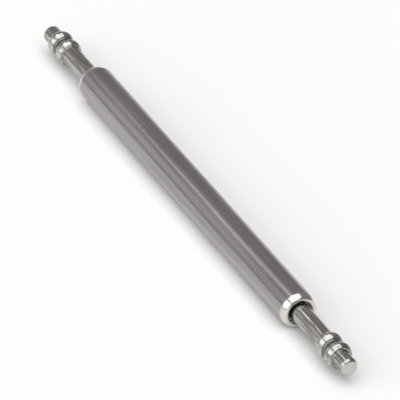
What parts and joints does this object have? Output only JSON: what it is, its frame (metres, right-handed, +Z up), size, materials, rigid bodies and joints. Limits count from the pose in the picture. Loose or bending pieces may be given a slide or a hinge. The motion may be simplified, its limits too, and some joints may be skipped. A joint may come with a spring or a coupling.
{
  "type": "spring bar",
  "caption": "Double-shouldered spring bar for a watch strap: a tube with rolled ends and a coil spring that pushes stepped pins outwards into lug holes.",
  "frame": {"origin": "centre of the barrel, on the bar's axis", "axes": "+X along the bar towards the right pin's tip, +Z up; the bar is round about X"},
  "size_m": [0.0276, 0.0016, 0.0014],
  "materials": {
    "barrel_steel": "satin, drawn lengthwise",
    "pin_steel": "turned",
    "spring_steel": "drawn wire"
  },
  "bodies": {
    "barrel": {"barrel": "barrel_steel", "spring": "spring_steel"},
    "pin_right": {"pin_right": "pin_steel"},
    "pin_left": {"pin_left": "pin_steel"}
  },
  "joints": [
    {"name": "pin_right_slide", "type": "slide", "parent": "barrel", "child": "pin_right", "axis": [-1, 0, 0], "range_m": [0, 0.0022], "stiffness_N_per_m": 1000, "deforming": ["spring"]},
    {"name": "pin_left_slide", "type": "slide", "parent": "barrel", "child": "pin_left", "axis": [1, 0, 0], "range_m": [0, 0.0022], "stiffness_N_per_m": 1000, "deforming": ["spring"]}
  ]
}
